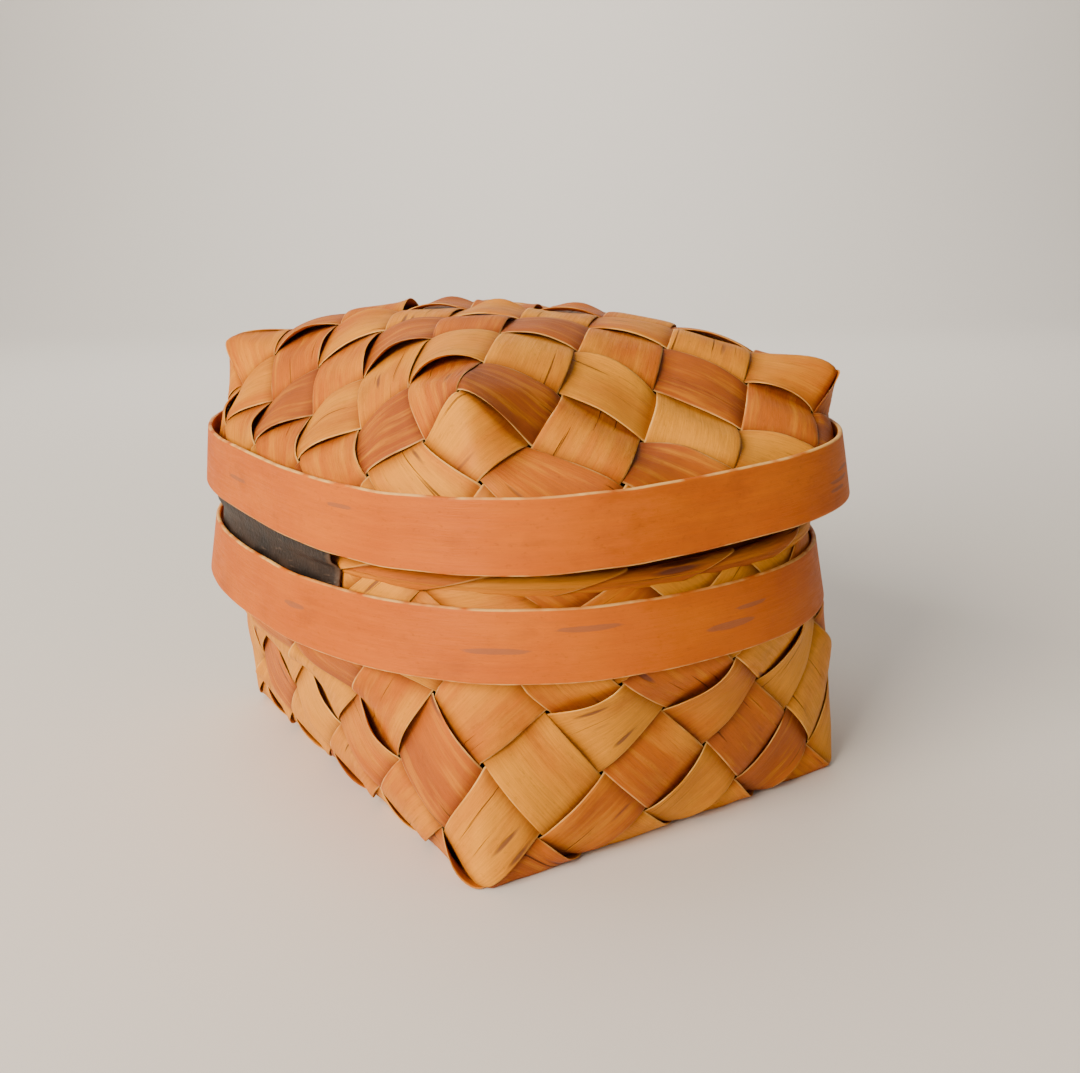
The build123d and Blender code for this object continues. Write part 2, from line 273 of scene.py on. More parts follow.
def strip_routes(half_rows):
    """The pairs of crossing points that each strip passes between, rim to rim, in the CAD nodes' order."""
    rows = half_rows / 2
    seen, routes = set(), []
    for start in range(SIDES):
        for turn in (1, -1):
            edge = start + 0.5
            if (edge, turn) in seen:
                continue
            places = [rows - i / 2 - 0.25 for i in range(half_rows)]
            gates = [wall_gate(edge + turn * row, row, turn, False) for row in places]
            side = side_and_way(edge)[0]
            du, dv = (INWARDS[side][i] - turn * TANGENTS[side][i] for i in (0, 1))
            u, v = outline(edge)
            while True:
                left = ("flat", u + du / 4 - dv / 4, v + dv / 4 + du / 4)
                right = ("flat", u + du / 4 + dv / 4, v + dv / 4 - du / 4)
                gates.append((left, right))
                u, v = u + du / 2, v + dv / 2
                if u in (0, CELLS_X) or v in (0, CELLS_Y):
                    break
            out_edge = edge_place(u, v)
            tangent = TANGENTS[side_and_way(out_edge)[0]]
            out_turn = 1 if du * tangent[0] + dv * tangent[1] > 0 else -1
            gates += [wall_gate(out_edge + out_turn * row, row, out_turn, True) for row in reversed(places)]
            seen.add((out_edge, out_turn))
            routes.append((turn, gates))
    return routes


# ---------------------------------------------------------------- plaited strips

class Crossing(NamedTuple):
    """One crossing on a strip. Its points are (position, normal) pairs."""
    near: tuple                 # the left and right points where the strip comes in
    far: tuple                  # the left and right points where it goes out
    end: str = ""               # "start" or "end" where the rim cuts the crossing in half
    cut: str = ""               # the side that the rim cuts further back
    crease: float = 0.0         # how sharply it folds along a diagonal
    from_left: bool = True      # the diagonal starts at the near left point


def bezier(p, q, s):
    """The curve between two crossing points that leaves each at right angles to its normal."""
    d = q[0] - p[0]
    leave = p[0] + (d - d.dot(p[1]) * p[1]) / 3
    arrive = q[0] - (d - d.dot(q[1]) * q[1]) / 3
    s = s[..., None]
    return (1 - s) ** 3 * p[0] + 3 * (1 - s) ** 2 * s * leave + 3 * (1 - s) * s ** 2 * arrive + s ** 3 * q[0]


def folded(l0, r0, l1, r1, s, t):
    """Two flat triangles that meet on the line from l0 to r1."""
    along, across = np.maximum(s - t, 0)[..., None], np.maximum(t - s, 0)[..., None]
    shared = np.minimum(s, t)[..., None]
    return l0[0] + (l1[0] - l0[0]) * along + (r0[0] - l0[0]) * across + (r1[0] - l0[0]) * shared


def patch(crossing, s, t):
    """Points and normals of the smooth four-sided patch of a crossing, s along the strip and t across it."""
    (l0, r0), (l1, r1) = crossing.near, crossing.far
    s1, t1 = s[..., None], t[..., None]
    sides = bezier(l0, l1, s) * (1 - t1) + bezier(r0, r1, s) * t1
    ends = bezier(l0, r0, t) * (1 - s1) + bezier(l1, r1, t) * s1
    weights = [(1 - s1) * (1 - t1), (1 - s1) * t1, s1 * (1 - t1), s1 * t1]
    flat = sum(w * p[0] for w, p in zip(weights, (l0, r0, l1, r1)))
    normal = sum(w * p[1] for w, p in zip(weights, (l0, r0, l1, r1)))
    points = sides + ends - flat
    if crossing.crease:
        fold = folded(l0, r0, l1, r1, s, t) if crossing.from_left else folded(r0, l0, r1, l1, s, 1 - t)
        inner = 16 * s * (1 - s) * t * (1 - t)      # 1 in the middle and 0 on all four sides
        share = crossing.crease * np.sqrt(np.clip(inner, 0, 1))[..., None]
        points = points * (1 - share) + fold * share
    return points, normal / np.linalg.norm(normal, axis=-1, keepdims=True)


def rim_crossing(shell, gate, points, end):
    """The half crossing at a strip's rim end, as a whole one that reaches past the rim."""
    left_first = gate[0][2] == shell.rows
    rim_place, low_place = gate if left_first else gate[::-1]
    top = shell.vertex(("wall", 2 * low_place[1] - rim_place[1], shell.rows))
    left, right = points
    low, rim = (right, left) if left_first else (left, right)
    beyond = (rim[0] + top[0] - low[0], rim[1])
    far = (beyond, top) if left_first else (top, beyond)
    cut = "right" if left_first else "left"
    return Crossing(far, points, end, cut) if end == "start" else Crossing(points, far, end, cut)


def fold_share(places):
    """How sharply a crossing folds: it does over the flat side's edge and, less, down the four corners."""
    outside = [place for place in places if place[0] == "wall" and place[2] > 0]
    return {1: EDGE_FOLD, 3: CORNER_FOLD}.get(len(outside), 0)


def crossing_list(shell, gates):
    """A strip's crossings from one end to the other."""
    points = [tuple(shell.vertex(place) for place in gate) for gate in gates]
    crossings = [rim_crossing(shell, gates[0], points[0], "start")]
    for near, far, gate, next_gate in zip(points, points[1:], gates, gates[1:]):
        from_left = all(value == int(value) for value in gate[0][1:])
        crossings.append(Crossing(near, far, crease=fold_share(gate + next_gate), from_left=from_left))
    crossings.append(rim_crossing(shell, gates[-1], points[-1], "end"))
    return crossings


def way_along(crossing, share, t):
    """How far along its crossing each point of a loop lies. A half crossing's loops fan out from the rim."""
    slant = t if crossing.cut == "left" else 1 - t
    if crossing.end == "start":
        return slant + (1 - slant) * share
    if crossing.end == "end":
        return share * (1 - slant)
    return np.full_like(t, share)


def smooth(x):
    x = np.clip(x, 0, 1)
    return x * x * (3 - 2 * x)


def keep_inside_band(shell, middle):
    """Brings in the points behind the band that would stand through it."""
    behind = shell.outward * (middle[:, 2] - shell.far_edge) < BAND_MARGIN
    half = (shell.half + LAYERS_APART / 2 + STRAP_CLEARANCE) * shell.scale(middle[:, 2])[:, None]
    from_centre = middle[:, :2] - shell.mouth_centre
    away = (np.abs(from_centre / half) ** shell.power).sum(axis=1) ** (1 / shell.power)
    shrink = np.where(behind & (away > 1), 1 / away, 1)[:, None]
    middle[:, :2] = shell.mouth_centre + from_centre * shrink


def goes_over_first(shell, turn):
    """Whether a strip that leans this way starts its route on top."""
    leans_up = turn * shell.outward < 0
    return leans_up if shell.half_rows % 2 else not leans_up


def strip_mesh(shell, turn, gates, number, tone):
    """One strip's points, loop by loop, with its grain coordinates and its tone, edge and shade."""
    layer = 1 if goes_over_first(shell, turn) else -1
    even = np.linspace(0, 1, STEPS_ACROSS + 1)
    turned = np.cos(math.pi * even)
    across = 0.5 - 0.5 * turned * (0.6 + 0.4 * np.abs(turned))      # closer together at the long edges
    from_middle = np.abs(2 * across - 1)
    thick = BARK / 2 * np.sqrt(np.clip(1.02 - from_middle ** 6, 0, 1))
    edge = np.clip((from_middle - 1 + CUT_EDGE) / CUT_EDGE, 0, 1)
    rows_out, grain_out, look_out = [], [], []
    run = 0.0
    last = None
    wander = [draw.uniform(0, 50) for _ in range(2)]
    for crossing in crossing_list(shell, gates):
        bulge = draw.uniform(*BULGES)
        curl = [draw.choice(CURLS) for _ in range(2)]
        tilt = draw.uniform(-TILT, TILT)
        shares = np.linspace(0, 1, STEPS_ALONG + 1)
        for share in shares[1:] if rows_out else shares:
            low, high = (side + EDGE_WANDER * noise.noise((run * EDGE_WANDER_WAVES + start, slice_at, number))
                         for side, start, slice_at in ((INSET, wander[0], 0), (1 - INSET, wander[1], 9)))
            t = low + (high - low) * across
            s = way_along(crossing, share, t)
            point, normal = patch(crossing, s, t)
            b = t - 0.5
            ca, cb = np.maximum(np.cos(math.pi * (s - 0.5)), 1e-4), np.cos(math.pi * b)
            lift = layer * LAYERS_APART * ca / (ca + np.maximum(cb, EDGE_REST))
            if layer > 0:
                curled = curl[0] * np.clip(-2 * b, 0, 1) ** 4 + curl[1] * np.clip(2 * b, 0, 1) ** 4
                swell = (bulge * (1 - 1.2 * b * b) + tilt * 2 * b) * ca ** 2 + curled * ca
                lift = lift + swell * smooth(shell.outward * (point[:, 2] - shell.far_edge) / BULGE_ROOM)
            middle = point + normal * lift[:, None]
            wobble = np.array([noise.noise(Vector(p) * WOBBLE_WAVES) for p in middle]) * WOBBLE
            middle = middle + normal * wobble[:, None]
            keep_inside_band(shell, middle)
            if shell.outward < 0:
                middle[:, 2] = np.maximum(middle[:, 2], BARK / 2)
            top, bottom = middle + normal * thick[:, None], middle - normal * thick[:, None]
            rows_out.append(np.concatenate([top, bottom[::-1]]))

            here = middle[len(middle) // 2]
            if last is not None:
                run += float(np.linalg.norm(here - last))
            last = here
            along = run + (s - s[len(s) // 2]) * STRIP_PITCH
            grain = np.stack([along, b * STRIP_PITCH, np.full_like(t, number)], axis=1)
            grain_out.append(np.concatenate([grain, grain[::-1] + (0, 0, INNER_FACE_SLICE)]))
            # painted shade: darker as the strip dives under its neighbour, and over the whole of each
            # crossing where it lies underneath
            shade = 1 - np.clip(ca / HIDDEN_FROM, 0, 1) if layer > 0 else np.ones_like(ca)
            look = np.stack([np.full_like(t, tone), edge, shade], axis=1)
            look_out.append(np.concatenate([look, look[::-1]]))
        layer = -layer
    return np.array(rows_out), np.array(grain_out), np.array(look_out)


def build_mesh(name, grid, grain, look, wrap=False):
    """An object from loops of points: grid is (loops, points, 3). wrap joins the last loop to the first."""
    loops, count = grid.shape[:2]
    faces = []
    for i in range(loops if wrap else loops - 1):
        j = (i + 1) % loops
        for m in range(count):
            n = (m + 1) % count
            faces.append((i * count + m, i * count + n, j * count + n, j * count + m))
    if not wrap:
        faces += [tuple(reversed(range(count))), tuple((loops - 1) * count + m for m in range(count))]
    mesh = bpy.data.meshes.new(name)
    mesh.from_pydata([tuple(p) for p in grid.reshape(-1, 3)], [], faces)
    for label, values in (("grain", grain), ("look", look)):
        attribute = mesh.attributes.new(label, "FLOAT_VECTOR", "POINT")
        attribute.data.foreach_set("vector", np.asarray(values, np.float32).ravel())
    mesh.validate()
    mesh.polygons.foreach_set("use_smooth", [True] * len(mesh.polygons))
    mesh.update()
    face_outwards(mesh)
    return add_object(name, mesh)


def face_outwards(mesh):
    bm = bmesh.new()
    bm.from_mesh(mesh)
    bmesh.ops.recalc_face_normals(bm, faces=bm.faces)
    bm.to_mesh(mesh)
    bm.free()


def add_object(name, data):
    obj = bpy.data.objects.new(name, data)
    bpy.context.scene.collection.objects.link(obj)
    return obj


def finish_piece(obj, body, material, nodes):
    """The piece turns to its rest place, takes its material, rides on its body, stands for its CAD nodes."""
    if body == "lid":
        obj.data.transform(LID_TURN)
    obj.data.materials.append(material)
    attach(obj, body)
    if nodes:
        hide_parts(*nodes)


# ---------------------------------------------------------------- materials

def srgb(r, g, b):
    """A linear colour from the sRGB values 0 to 255."""
    return tuple(((c / 255 + 0.055) / 1.055) ** 2.4 if c > 10 else c / 255 / 12.92 for c in (r, g, b)) + (1,)


YELLOW_TAN = srgb(226, 148, 28)
ORANGE_BROWN = srgb(196, 102, 16)
PINK_BROWN = srgb(158, 78, 28)
BAND_TONES = srgb(204, 104, 16), srgb(190, 90, 12), srgb(168, 74, 10)
# the collar's tones are darker than the bands': painted shade of the narrow gap between the bands that it
# sits in
COLLAR_SHADED_TONES = srgb(190, 110, 30), srgb(164, 86, 22), srgb(130, 66, 18)
PALE_EDGE = srgb(236, 190, 110)
PURPLE_BROWN = srgb(96, 58, 52)
STAIN = srgb(140, 66, 22)
LENTICEL = srgb(132, 84, 62)
DARK_BROWN = srgb(84, 42, 18)
# the fibres' warm brown, and also the colour multiplied in as painted shade
FIBRE_AND_SHADE_BROWN = srgb(130, 78, 42)
LEATHER_DARK, LEATHER_LIGHT = srgb(24, 18, 15), srgb(54, 40, 32)
LEATHER_SCUFF, LEATHER_EDGE = srgb(140, 116, 98), srgb(120, 92, 70)
PALE_FLOOR = srgb(226, 222, 216)

# The patterns' waves a metre along and across the grain, and how far apart the strips sample them
BLOTCHES = (38, 90, 3.1)
FIBRES = (130, 2600, 5.3)
STAINS = (70, 110, 9.7)
STREAKS = (55, 620, 2.2)
SPECKLES = (900, 1500, 7.7)
DASHES = (75, 520, 6.1)
DASH_BENDS = (60, 60, 1.3)
CRACKS = (30, 1300, 8.9)
TORN_MARKS = (500, 2600, 4.4)
PALE_PLACES = (200, 30, 2.9)
WAVES = (120, 160, 4.0)
LEATHER_CLOUDS = (120, 160, 1.0)
LEATHER_SCUFFS = (160, 1500, 1.0)
LEATHER_PEBBLES = (1400, 1400, 1)


class Nodes:
    """Short calls for a material's node tree, with the mesh's grain and look attributes at hand."""

    def __init__(self, name):
        self.material = bpy.data.materials.new(name)
        self.material.use_nodes = True
        self.tree = self.material.node_tree
        self.shader = self.tree.nodes["Principled BSDF"]

    def read_attributes(self):
        """Sets grain, and returns look's three values: tone, cut edge and shade."""
        self.grain = self.add("ShaderNodeAttribute", output="Vector", attribute_name="grain")
        look = self.add("ShaderNodeAttribute", output="Vector", attribute_name="look")
        parts = self.tree.nodes.new("ShaderNodeSeparateXYZ")
        self.put(parts.inputs[0], look)
        return parts.outputs

    def add(self, kind, inputs=None, output=0, **settings):
        node = self.tree.nodes.new(kind)
        for key, value in settings.items():
            setattr(node, key, value)
        for key, value in (inputs or {}).items():
            self.put(node.inputs[key], value)
        return node.outputs[output]

    def put(self, socket, value):
        if isinstance(value, bpy.types.NodeSocket):
            self.tree.links.new(value, socket)
        else:
            socket.default_value = value

    def math(self, operation, a, b, clamp=False):
        return self.add("ShaderNodeMath", {0: a, 1: b}, operation=operation, use_clamp=clamp)

    def times(self, a, b):
        return self.math("MULTIPLY", a, b)

    def stretched(self, waves):
        return self.add("ShaderNodeVectorMath", {0: self.grain, 1: waves}, operation="MULTIPLY")

    def noise(self, waves, detail, roughness=0.55):
        inputs = {"Vector": self.stretched(waves), "Scale": 1.0, "Detail": detail, "Roughness": roughness}
        return self.add("ShaderNodeTexNoise", inputs)

    def cells(self, vector):
        node = self.tree.nodes.new("ShaderNodeTexVoronoi")
        self.put(node.inputs["Vector"], vector)
        self.put(node.inputs["Scale"], 1.0)
        return node.outputs

    def ramp(self, value, low, high, to_low=0.0, to_high=1.0):
        inputs = {"Value": value, "From Min": low, "From Max": high, "To Min": to_low, "To Max": to_high}
        return self.add("ShaderNodeMapRange", inputs)

    def mix(self, share, a, b, blend="MIX"):
        node = self.tree.nodes.new("ShaderNodeMix")
        node.data_type = "RGBA"
        node.blend_type = blend
        for index, value in ((0, share), (6, a), (7, b)):      # 6, 7 and output 2 are the colour sockets
            self.put(node.inputs[index], value)
        return node.outputs[2]

    def bump(self, height, distance, strength, normal=None):
        inputs = {"Height": height, "Distance": distance, "Strength": strength}
        if normal is not None:
            inputs["Normal"] = normal
        return self.add("ShaderNodeBump", inputs)

    def finish(self, colour, roughness, normal, specular):
        for name, value in (("Base Color", colour), ("Roughness", roughness), ("Normal", normal),
                            ("Specular IOR Level", specular)):
            self.put(self.shader.inputs[name], value)
        return self.material


def bark_material(name, tones, lenticel_amount, streak_amount, painted_shade_amount, crack_amount):
    """Inner birch bark: fibres along the strip, blotches, stains, lenticels, cracks, pale cut edges and
    painted shade.
    """
    n = Nodes(name)
    tone, edge, painted_shade = n.read_attributes()
    light, middle, dark = tones

    shift = n.math("ADD", tone, n.times(n.math("SUBTRACT", n.noise(BLOTCHES, 3.0), 0.5), 1.5))
    colour = n.mix(n.ramp(shift, 0.0, 0.5), light, middle)
    colour = n.mix(n.ramp(shift, 0.5, 1.05), colour, dark)
    fibres = n.noise(FIBRES, 5.0, 0.7)
    colour = n.mix(n.times(n.ramp(fibres, 0.35, 0.7), streak_amount), colour, FIBRE_AND_SHADE_BROWN)
    stain = n.ramp(n.noise(STAINS, 5.0, 0.65), 0.56, 0.78)
    colour = n.mix(n.times(stain, 0.5), colour, STAIN)
    streaks = n.ramp(n.noise(STREAKS, 3.0, 0.6), 0.5, 0.75)
    colour = n.mix(n.times(streaks, 0.55), colour, light)
    speckle = n.ramp(n.noise(SPECKLES, 2.0, 0.6), 0.6, 0.8)
    colour = n.mix(n.times(speckle, 0.25), colour, DARK_BROWN)

    # short lenticels: a few of the cells of a pattern stretched across the strip and bent a little
    bend = n.add("ShaderNodeTexNoise", {"Vector": n.stretched(DASH_BENDS), "Scale": 1.0}, output="Color")
    bend = n.add("ShaderNodeVectorMath", {0: bend, 1: (0.8, 0.8, 0.0)}, operation="MULTIPLY")
    bent = n.add("ShaderNodeVectorMath", {0: n.stretched(DASHES), 1: bend}, operation="ADD")
    cells = n.cells(bent)
    pick = n.add("ShaderNodeSeparateColor", {0: cells["Color"]})
    chosen = n.math("LESS_THAN", pick, lenticel_amount)
    dash = n.times(n.ramp(cells["Distance"], 0.30, 0.16), chosen)
    colour = n.mix(n.times(dash, 0.75), colour, PURPLE_BROWN)

    crack = n.times(n.ramp(n.noise(CRACKS, 2.0, 0.5), 0.70, 0.745), crack_amount)
    colour = n.mix(crack, colour, DARK_BROWN)

    mark = n.add("ShaderNodeAttribute", output="Fac", attribute_name="mark")
    torn = n.noise(TORN_MARKS, 4.0, 0.7)
    mark = n.ramp(n.times(mark, n.math("ADD", torn, 0.45)), 0.35, 0.55)
    colour = n.mix(n.times(mark, 0.62), colour, LENTICEL)

    # painted shade: darker where a strip dives under its neighbour, on its under layer, on the rings' inner
    # faces and where a rim fold lies under the last one
    colour = n.mix(n.times(painted_shade, painted_shade_amount), colour, FIBRE_AND_SHADE_BROWN, "MULTIPLY")
    pale = n.ramp(n.noise(PALE_PLACES, 2.0), 0.35, 0.6)
    colour = n.mix(n.times(edge, n.times(pale, 0.8)), colour, PALE_EDGE)

    normal = n.bump(n.noise(WAVES, 3.0), 0.0006, 0.5)
    normal = n.bump(fibres, 0.00012, 0.8, normal)
    hollow = n.math("SUBTRACT", 1.0, n.math("ADD", n.times(dash, 0.5), crack, clamp=True))
    normal = n.bump(hollow, 0.00025, 1.0, normal)
    return n.finish(colour, n.ramp(fibres, 0.3, 0.7, 0.42, 0.62), normal, specular=0.12)


def leather_material():
    """Dark worn leather with scuffs and a fine pebble."""
    n = Nodes("worn_leather")
    _, edge, _ = n.read_attributes()
    cloud = n.noise(LEATHER_CLOUDS, 5.0)
    colour = n.mix(n.ramp(cloud, 0.35, 0.7), LEATHER_DARK, LEATHER_LIGHT)
    scuff = n.noise(LEATHER_SCUFFS, 4.0, 0.7)
    colour = n.mix(n.times(n.ramp(scuff, 0.6, 0.78), 0.45), colour, LEATHER_SCUFF)
    colour = n.mix(n.times(edge, 0.5), colour, LEATHER_EDGE)
    pebble = n.bump(n.cells(n.stretched(LEATHER_PEBBLES))["Distance"], 0.00015, 0.6)
    normal = n.bump(scuff, 0.0002, 0.5, pebble)
    return n.finish(colour, n.ramp(cloud, 0.0, 1.0, 0.35, 0.65), normal, specular=0.25)


# ---------------------------------------------------------------- rings

def ring_curve(shell, reach, z, shift):
    """A closed curve round the mouth at a height, reach outside the plait's middle surface."""
    scale = shell.scale(z)
    points = []
    for i in range(RING_STEPS):
        angle = math.tau * i / RING_STEPS
        x, y = superellipse(shell.half[0] + reach + shift, shell.half[1] + reach, shell.power, angle)
        points.append((shell.mouth_centre[0] - shift + x * scale, shell.mouth_centre[1] + y * scale, z))
    return np.array(points)


def ring_normals(points):
    along = np.roll(points, -1, axis=0) - np.roll(points, 1, axis=0)
    along[:, 2] = 0
    along /= np.linalg.norm(along, axis=1, keepdims=True)
    return np.stack([along[:, 1], -along[:, 0], np.zeros(len(along))], axis=1)


def ring_noise(waves, slice_at):
    angles = [i * math.tau / RING_STEPS for i in range(RING_STEPS)]
    return np.array([noise.noise((math.cos(a) * waves, math.sin(a) * waves, slice_at)) for a in angles])


def band_profile(height, thickness):
    """A band's cross-section: (outward, up) from its inner lower corner, and 1 on its cut edges."""
    ups = np.linspace(EDGE_RADIUS, height - EDGE_RADIUS, PROFILE_STEPS)
    outer = [(thickness, up, 0.0) for up in ups]
    inner = [(0.0, up, 0.0) for up in ups[::-1]]
    cap, foot = [], []
    for i in range(1, CAP_STEPS):
        side = thickness / 2 * math.cos(math.pi * i / CAP_STEPS)
        rise = EDGE_RADIUS * math.sin(math.pi * i / CAP_STEPS)
        cap.append((thickness / 2 + side, height - EDGE_RADIUS + rise, 1.0))
        foot.append((thickness / 2 - side, EDGE_RADIUS - rise, 1.0))
    return outer + cap + inner + foot


def mark_values(shell, low_z, height, thickness, profile, curve, run, marks):
    """How far each point of a ring lies inside one of its long lenticels, on its outer face only."""
    outs, ups, _ = (np.array(column) for column in zip(*profile))
    values = np.zeros((len(run), len(profile)))
    for k, share, length, tall in marks:
        at = shell.mouth(k) * shell.scale(low_z) + shell.mouth_centre
        nearest = np.argmin(np.linalg.norm(curve[:, :2] - at, axis=1))
        away = (run - run[nearest])[:, None] / (length / 2)
        above = (ups - share * height)[None, :] / (tall / 2)
        value = np.clip(MARK_FADE - away ** 2 - above ** 2, 0, 1) * (outs > thickness / 2)
        values = np.maximum(values, value)
    return values


def make_ring(name, shell, reach, low_z, height, thickness, number, tone, marks, shift=0.0, wave=0.0):
    """A bent bark ring with rounded cut edges. Its lower edge is at low_z.
    marks are its long lenticels: (cells round the mouth, share of the height, length, height)."""
    profile = band_profile(height, thickness)
    rise = ring_noise(RISE_WAVES, number * RISE_SLICE) * RISE
    loops, grains, looks = [], [], []
    run = None
    for out, up, edge in profile:
        curve = ring_curve(shell, reach, low_z + up, shift)
        if run is None:
            steps = np.linalg.norm(np.roll(curve, -1, axis=0) - curve, axis=1)
            run = np.concatenate([[0], np.cumsum(steps)[:-1]])
        sway = wave * (1 + ring_noise(SWAY_WAVES, number + up * SWAY_TWIST))
        moved = curve + ring_normals(curve) * (out + sway)[:, None]
        moved[:, 2] += rise
        loops.append(moved)
        grains.append(np.stack([run, np.full(RING_STEPS, up), np.full(RING_STEPS, float(number))], axis=1))
        # the inner face takes the look's shade value: painted shade on the ring's inner face
        inner = 1.0 if out < thickness / 2 else 0.0
        looks.append(np.tile((tone, edge, inner), (RING_STEPS, 1)))
    grid, grain, look = (np.swapaxes(np.array(part), 0, 1) for part in (loops, grains, looks))
    ring = build_mesh(name, grid, grain, look, wrap=True)
    values = mark_values(shell, low_z, height, thickness, profile, grid[:, 0], run, marks)
    attribute = ring.data.attributes.new("mark", "FLOAT", "POINT")
    attribute.data.foreach_set("value", values.astype(np.float32).ravel())
    return ring


def make_rim_roll(shell, steps_per_fold=30, steps_round=28):
    """The base's rim: the strips' ends turned over it and rolled, each slanting over the next."""
    loops, grains, looks = [], [], []
    tones = [draw.uniform(0.0, 0.6) for _ in range(SIDES)]
    for fold in range(SIDES):
        for i in range(steps_per_fold):
            way = i / (steps_per_fold - 1)
            edge = ROLL_EDGE if way == 1 else 0.0
            shade = float(smooth((ROLL_SHADE - way) / ROLL_SHADE))
            loop, grain = [], []
            for j in range(steps_round):
                angle = math.tau * j / steps_round
                k = fold + way * ROLL_SEAM + ROLL_SLANT * math.sin(angle)
                place, ahead = shell.mouth(k), shell.mouth(k + 0.05)
                tangent = unit(ahead - place)
                normal = np.array([tangent[1], -tangent[0]])
                grow = ROLL_GROWTH * way + ROLL_ROUGH * noise.noise((k * 9, angle, 5))
                centre = place * shell.scale(shell.rim_z) + shell.mouth_centre
                x, y = centre + normal * (ROLL_HALF_WIDE + grow) * math.cos(angle)
                loop.append((x, y, shell.rim_z - ROLL_DROP + (ROLL_HALF_HIGH + grow) * math.sin(angle)))
                grain.append((way * CELL * 0.6 + angle * 0.002, angle * 0.0015, fold + 0.5))
            loops.append(loop)
            grains.append(grain)
            looks.append([(tones[fold], edge, shade)] * steps_round)
    return build_mesh("rim_roll", np.array(loops), np.array(grains), np.array(looks), wrap=True)


def strap_rest(shell, y, z):
    """Where the strap's inner face lies against one half of the box."""
    half = (shell.half + PLAIT_HALF + STRAP_CLEARANCE) * shell.scale(z)
    along = min(abs(y - shell.mouth_centre[1]) / half[1], 1)
    return shell.mouth_centre[0] - half[0] * (1 - along ** shell.power) ** (1 / shell.power)


def make_strap(base, lid, up_steps=44, wide_steps=60):
    """The leather hinge: one piece from behind the base's band to behind the lid's band."""
    low, high = base.mouth_edge - STRAP_TUCK, lid.mouth_edge + STRAP_TUCK
    node_low, node_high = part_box("hinge_strap_lower")
    edges = [1.0 if j in (0, wide_steps) else 0.0 for j in range(wide_steps + 1)]
    loops, grains, looks = [], [], []
    for i in range(up_steps + 1):
        z = low + (high - low) * i / up_steps
        lid_share = float(smooth((z - HINGE_AT.z + FOLD_HALF) / (2 * FOLD_HALF)))
        outer, inner, grain = [], [], []
        for j, edge in enumerate(edges):
            y = node_low.y + (node_high.y - node_low.y) * j / wide_steps
            on_base, on_lid = strap_rest(base, y, z), strap_rest(lid, y, z)
            x = on_base + (on_lid - on_base) * lid_share
            pucker = PUCKER * noise.noise((y * 300, z * 400, 3))
            outer.append((x - STRAP_THICKNESS + edge * STRAP_EDGE_ROUND + pucker, y, z))
            inner.append((x - edge * STRAP_EDGE_ROUND, y, z))
            grain.append((y, z, 0.0))
        if z > HINGE_AT.z:
            turned = [Vector(point).lerp(LID_TURN @ Vector(point), lid_share) for point in outer + inner]
            outer, inner = turned[:len(outer)], turned[len(outer):]
        loops.append([tuple(point) for point in outer + inner[::-1]])
        grains.append(grain + grain[::-1])
        looks.append([(0, edge, 0) for edge in edges + edges[::-1]])
    return build_mesh("hinge_strap", np.array(loops), np.array(grains), np.array(looks))


# ---------------------------------------------------------------- the box

base, lid = Plait(**BASE), Plait(**LID)
HALVES = (("base", base), ("lid", lid))
plait_bark = bark_material("plaited_bark", (YELLOW_TAN, ORANGE_BROWN, PINK_BROWN), lenticel_amount=0.10,
                           streak_amount=0.35, painted_shade_amount=0.55, crack_amount=0.8)
band_bark = bark_material("band_bark", BAND_TONES, lenticel_amount=0.0, streak_amount=0.2, painted_shade_amount=0.3,
                          crack_amount=0.0)
collar_bark = bark_material("collar_bark", COLLAR_SHADED_TONES, lenticel_amount=0.04, streak_amount=0.3,
                            painted_shade_amount=0.4, crack_amount=0.2)

# The strips' tones run from yellow at 0 to pinkish brown at 1. Those that cross near the front corner are
# set, and the others are drawn.
STRIP_TONES = [0.05, 0.1, 0.25, 0.4, 0.6, 0.9]
SET_TONES = {"base": {13: 0.0, 4: 0.1, 2: 0.8, 15: 0.35, 1: 0.45, 6: 0.3},
             "lid": {2: 0.1, 1: 0.95, 4: 0.3, 15: 0.2, 13: 0.55}}
for body, shell in HALVES:
    first = LID_NUMBERS if body == "lid" else 0
    for number, (turn, gates) in enumerate(strip_routes(shell.half_rows), 1):
        tone = draw.choice(STRIP_TONES)
        tone = SET_TONES[body].get(number, tone)
        piece = build_mesh(f"{body}_bark_{number:02d}", *strip_mesh(shell, turn, gates, first + number, tone))
        finish_piece(piece, body, plait_bark, [f"{body}_strip_{number:02d}"])

# The rings' long lenticels: cells round the mouth, share of the height, length and height
MARKS = {
    "base": [(0.95, 0.72, 0.013, 0.0011), (0.35, 0.45, 0.013, 0.0011), (2.1, 0.42, 0.013, 0.0014),
             (2.35, 0.62, 0.009, 0.0009), (16.4, 0.55, 0.008, 0.0012), (7.2, 0.5, 0.014, 0.001),
             (8.1, 0.3, 0.01, 0.0012), (11.3, 0.6, 0.013, 0.0012), (13.9, 0.35, 0.011, 0.001)],
    "lid": [(3.35, 0.42, 0.012, 0.0008), (3.5, 0.55, 0.01, 0.0007), (3.3, 0.3, 0.009, 0.0007),
            (17.0, 0.7, 0.008, 0.0009), (6.6, 0.4, 0.012, 0.0011), (10.2, 0.6, 0.013, 0.0012),
            (12.4, 0.3, 0.012, 0.001), (15.1, 0.5, 0.011, 0.001)],
    "collar": [(1.5, 0.83, 0.012, 0.0012), (5.6, 0.6, 0.012, 0.001), (9.5, 0.7, 0.013, 0.001)],
}
RING_NUMBERS = {"base": 90, "lid": 95, "collar": 99}
BAND_TONE, COLLAR_TONE = 0.3, 0.55
BAND_WAVE = 0.00018
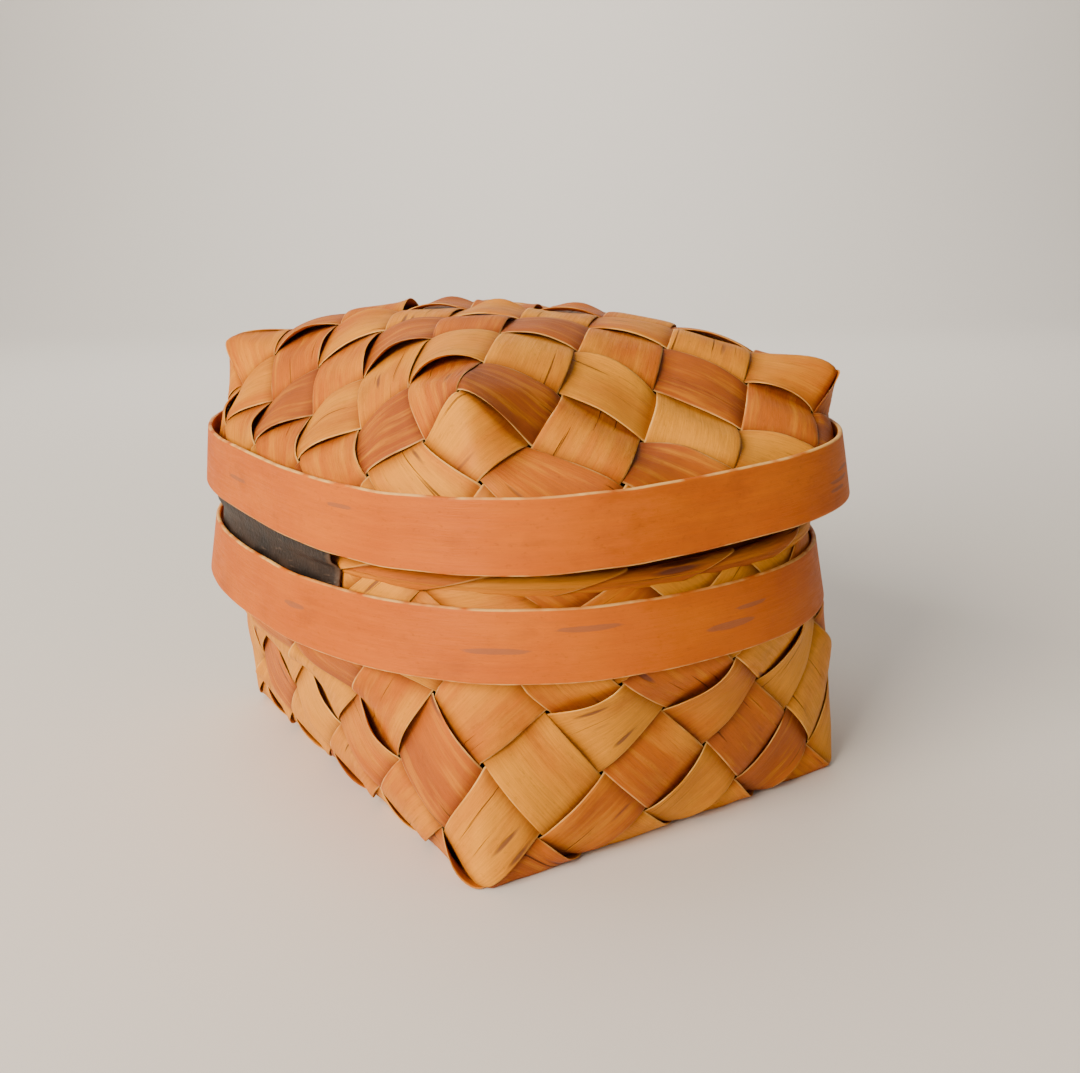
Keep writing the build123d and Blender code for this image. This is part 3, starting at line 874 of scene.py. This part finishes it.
for body, shell in HALVES:
    band = make_ring(f"{body}_bent_band", shell, PLAIT_HALF + BAND_CLEARANCE,
                     min(shell.mouth_edge, shell.far_edge), BAND_HEIGHT, BAND_THICKNESS, RING_NUMBERS[body],
                     BAND_TONE, MARKS[body], BAND_SHIFT, BAND_WAVE)
    finish_piece(band, body, band_bark, [f"{body}_band"])

collar_low, collar_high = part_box("base_collar")
collar_reach = (collar_high.x - collar_low.x) / 2 - base.half[0] - COLLAR_THICKNESS
collar = make_ring("inner_collar", Plait(**{**BASE, "slope": 1.0}), collar_reach, collar_low.z,
                   collar_high.z - collar_low.z, COLLAR_THICKNESS, RING_NUMBERS["collar"], COLLAR_TONE,
                   MARKS["collar"])
finish_piece(collar, "base", collar_bark, ["base_collar"])

finish_piece(make_rim_roll(base), "base", plait_bark, [])

strap = make_strap(base, lid)
strap.data.materials.append(leather_material())
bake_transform(strap)
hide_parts("hinge_strap_lower", "hinge_strap_upper")


# ---------------------------------------------------------------- stage, lights and camera

def make_stage():
    """A pale floor that sweeps up behind the box."""
    width, front, back, rise, radius = 4.0, -2.0, 1.6, 2.2, 0.6
    bend_steps = 12
    profile = [(front, 0.0)]
    for i in range(bend_steps + 1):
        angle = math.pi / 2 * i / bend_steps
        profile.append((back - radius + radius * math.sin(angle), radius - radius * math.cos(angle)))
    profile.append((back, rise))
    turn = Matrix.Rotation(-CAMERA_YAW_FROM_Y, 4, "Z")
    points = [turn @ Vector((x, y, z)) for y, z in profile for x in (-width, width)]
    faces = [(2 * i, 2 * i + 1, 2 * i + 3, 2 * i + 2) for i in range(len(profile) - 1)]
    mesh = bpy.data.meshes.new("floor")
    mesh.from_pydata(points, [], faces)
    mesh.polygons.foreach_set("use_smooth", [True] * len(mesh.polygons))
    floor = add_object("floor", mesh)
    n = Nodes("pale_floor")
    n.shader.inputs["Base Color"].default_value = PALE_FLOOR
    n.shader.inputs["Roughness"].default_value = 0.75
    floor.data.materials.append(n.material)


def add_light(name, place, size, power, colour, target=(0, 0, 0.05)):
    light = bpy.data.lights.new(name, "AREA")
    light.size = size
    light.energy = power
    light.color = colour
    obj = add_object(name, light)
    obj.location = place
    obj.rotation_euler = (Vector(target) - Vector(place)).to_track_quat("-Z", "Y").to_euler()


camera_data = bpy.data.cameras.new("camera")
camera_data.lens, camera_data.sensor_width, camera_data.sensor_fit = LENS, SENSOR, "HORIZONTAL"
camera_data.clip_start = 0.01
camera = add_object("camera", camera_data)
aim = CAMERA_TOWARDS.to_track_quat("-Z", "Y").to_matrix().to_4x4()
camera.matrix_world = Matrix.Translation(CAMERA_AT) @ aim @ Matrix.Rotation(CAMERA_ROLL, 4, "Z")
bpy.context.scene.camera = camera

make_stage()
add_light("key", (-0.95, -0.30, 0.55), 0.6, 25, (1.0, 0.88, 0.74))
add_light("fill", (0.5, -0.9, 0.35), 1.0, 0.6, (1.0, 0.93, 0.85))
add_light("top", (-0.2, 0.3, 1.1), 0.9, 5, (1, 0.95, 0.88))
add_light("backdrop", (0.35, 0.55, 1.0), 0.8, 14, (1, 0.96, 0.9), target=(0.9, 1.4, 0.3))
world = bpy.data.worlds.new("soft_room")
world.use_nodes = True
world.node_tree.nodes["Background"].inputs["Color"].default_value = (1.0, 0.94, 0.87, 1)
world.node_tree.nodes["Background"].inputs["Strength"].default_value = 0.2
bpy.context.scene.world = world
